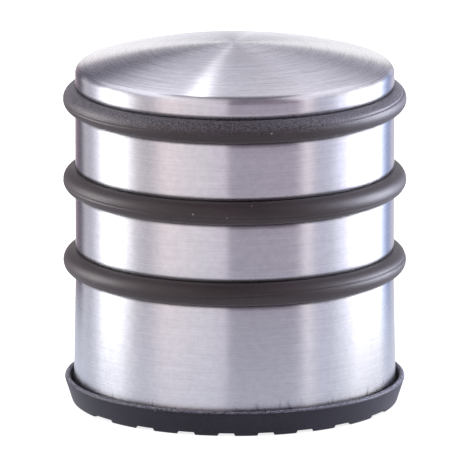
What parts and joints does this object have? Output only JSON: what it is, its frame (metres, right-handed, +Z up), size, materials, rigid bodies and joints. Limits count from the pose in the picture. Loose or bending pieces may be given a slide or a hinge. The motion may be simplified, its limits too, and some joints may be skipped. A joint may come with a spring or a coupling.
{
  "type": "door stop",
  "caption": "Weighted cylindrical door stop: domed brushed steel body with rubber bumper rings in rolled grooves and a ribbed rubber foot.",
  "frame": {"origin": "on the floor, at the middle of the foot's ribbed underside", "axes": "+Z up along the axis of the body; the ribs under the foot run along Y, and X runs across them"},
  "size_m": [0.0847, 0.0846, 0.09],
  "materials": {
    "stainless_steel": "brushed round the axis, satin",
    "ring_rubber": "moulded, matt",
    "foot_rubber": "moulded, matt, fine grain",
    "cement": "cast, rough",
    "zinc_plated_steel": "rolled and zinc plated",
    "adhesive": "translucent adhesive on a film"
  },
  "bodies": {
    "root": {"shell": "stainless_steel", "upper_ring": "ring_rubber", "middle_ring": "ring_rubber", "lower_ring": "ring_rubber", "ballast": "cement", "closing_plate": "zinc_plated_steel", "adhesive_disc": "adhesive", "foot": "foot_rubber"}
  },
  "joints": []
}
